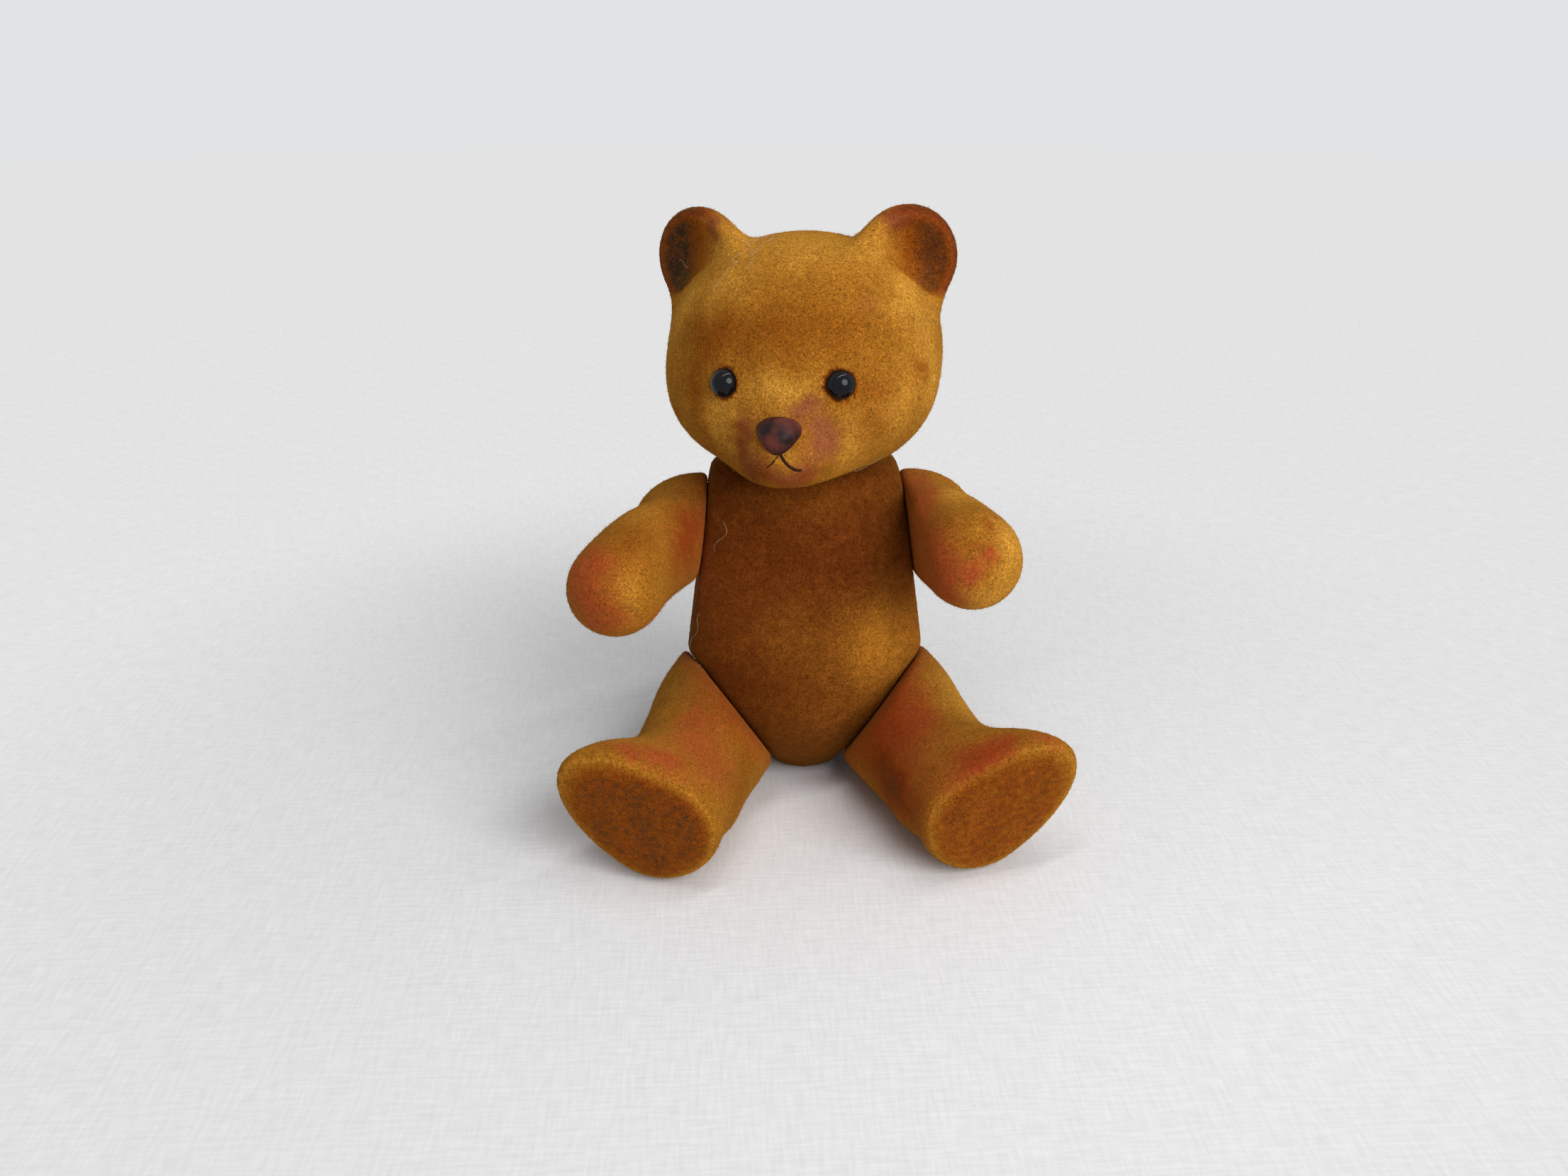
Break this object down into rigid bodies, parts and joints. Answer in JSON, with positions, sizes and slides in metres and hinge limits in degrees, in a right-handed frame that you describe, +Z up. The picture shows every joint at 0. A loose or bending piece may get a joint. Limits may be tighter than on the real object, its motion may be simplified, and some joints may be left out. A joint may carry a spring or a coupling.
{
  "type": "jointed teddy bear",
  "caption": "Sitting jointed toy bear: hollow moulded shells with a flock coat, a head that turns on a snap plug, and arms and legs that swing on pinned disc joints.",
  "frame": {"origin": "middle of the flat seat under the torso, on the surface that the bear sits on", "axes": "+Z up along the torso and the neck axis; the bear faces -Y; its left side is +X"},
  "size_m": [0.0908, 0.0734, 0.1115],
  "materials": {
    "gold_flock": "short flock fibres on moulded plastic, worn in places to a red base coat",
    "brown_flock": "short flock fibres on moulded plastic, browner than the limbs",
    "nylon": "moulded",
    "spring_steel": "stamped",
    "eye_black": "polished",
    "nose_maroon": "painted, worn"
  },
  "bodies": {
    "body": {"torso": "brown_flock", "neck_washer": "nylon", "left_shoulder_washer": "nylon", "right_shoulder_washer": "nylon", "left_hip_washer": "nylon", "right_hip_washer": "nylon"},
    "head": {"head": "gold_flock", "neck_plug": "nylon", "left_eye": "eye_black", "right_eye": "eye_black", "left_eye_washer": "spring_steel", "right_eye_washer": "spring_steel", "nose": "nose_maroon", "nose_washer": "spring_steel"},
    "left_arm": {"left_arm": "gold_flock", "left_shoulder_pin": "nylon", "left_shoulder_lock": "spring_steel"},
    "right_arm": {"right_arm": "gold_flock", "right_shoulder_pin": "nylon", "right_shoulder_lock": "spring_steel"},
    "left_leg": {"left_leg": "gold_flock", "left_hip_pin": "nylon", "left_hip_lock": "spring_steel"},
    "right_leg": {"right_leg": "gold_flock", "right_hip_pin": "nylon", "right_hip_lock": "spring_steel"}
  },
  "joints": [
    {"name": "neck_turn", "type": "hinge", "parent": "body", "child": "head", "pos_m": [0, 0, 0.065], "axis": [0, 0, 1], "continuous": true},
    {"name": "left_shoulder_swing", "type": "hinge", "parent": "body", "child": "left_arm", "pos_m": [0.01952, 0, 0.0517], "axis": [-0.9907, 0, -0.1357], "range_deg": [-42, 12]},
    {"name": "right_shoulder_swing", "type": "hinge", "parent": "body", "child": "right_arm", "pos_m": [-0.01952, 0, 0.0517], "axis": [-0.9907, 0, 0.1357], "range_deg": [-110, 25]},
    {"name": "left_hip_swing", "type": "hinge", "parent": "body", "child": "left_leg", "pos_m": [0.018, 0, 0.0155], "axis": [-0.7969, 0.29, 0.5299], "range_deg": [-115, 6]},
    {"name": "right_hip_swing", "type": "hinge", "parent": "body", "child": "right_leg", "pos_m": [-0.018, 0, 0.0155], "axis": [-0.7969, -0.29, -0.5299], "range_deg": [-115, 6]}
  ]
}
